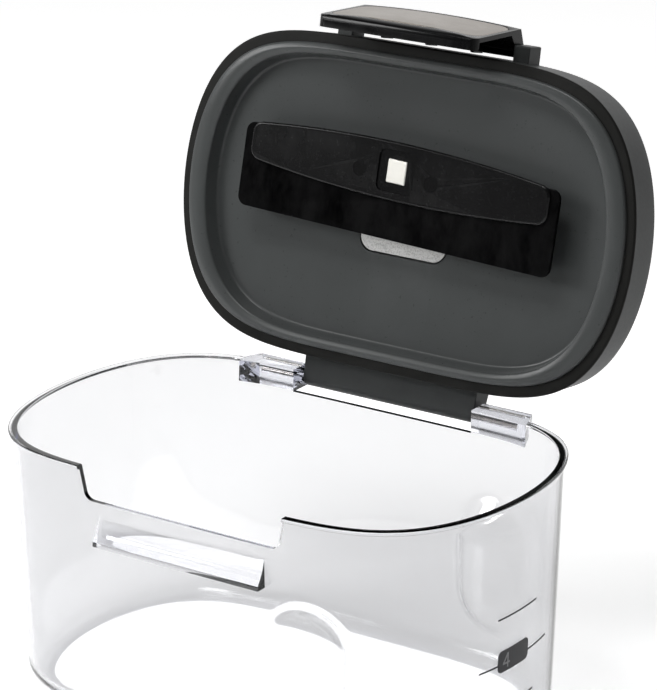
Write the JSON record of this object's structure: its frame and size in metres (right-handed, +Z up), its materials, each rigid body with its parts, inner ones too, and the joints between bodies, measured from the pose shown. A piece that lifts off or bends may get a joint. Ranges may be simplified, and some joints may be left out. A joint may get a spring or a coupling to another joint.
{
  "type": "flip-lid kitchen canister",
  "caption": "Clear oval canister with a hinged, gasketed flip lid, a front latch and a magnetic leveler held under the lid.",
  "frame": {"origin": "centre of the tub's flat base, on the surface it stands on", "axes": "+X along the hinge, -Y towards the latch at the front, +Z up; the lid is shown open"},
  "size_m": [0.2246, 0.1875, 0.2581],
  "materials": {
    "clear_plastic": "clear moulded, polished",
    "pin_steel": "drawn wire",
    "charcoal_plastic": "fine moulded satin",
    "liner_plastic": "fine moulded satin",
    "gasket_rubber": "soft matt",
    "keeper_steel": "speckled matt",
    "latch_plastic": "moulded gloss",
    "latch_metal": "polished pewter",
    "blade_plastic": "moulded gloss",
    "grip_plastic": "moulded satin",
    "magnet_metal": "nickel plated"
  },
  "bodies": {
    "bin": {"bin_body": "clear_plastic", "hinge_pin_left": "pin_steel", "hinge_pin_right": "pin_steel"},
    "lid": {"lid_shell": "charcoal_plastic", "lid_liner": "liner_plastic", "lid_gasket": "gasket_rubber", "keeper_plate": "keeper_steel", "latch_pin": "pin_steel"},
    "latch": {"latch_body": "latch_plastic", "latch_plate": "latch_metal"},
    "leveler": {"leveler_blade": "blade_plastic", "leveler_grip": "grip_plastic", "leveler_magnet": "magnet_metal"}
  },
  "joints": [
    {"name": "lid_hinge", "type": "hinge", "parent": "bin", "child": "lid", "pos_m": [0, 0.0763, 0.1026], "axis": [1, 0, 0], "range_deg": [0, 101.2]},
    {"name": "latch_hinge", "type": "hinge", "parent": "lid", "child": "latch", "pos_m": [0, 0.11031, 0.24552], "axis": [-1, 0, 0], "range_deg": [0, 100]},
    {"name": "leveler_lift", "type": "slide", "parent": "lid", "child": "leveler", "axis": [0, -0.981, 0.1942], "range_m": [0, 0.06]}
  ]
}
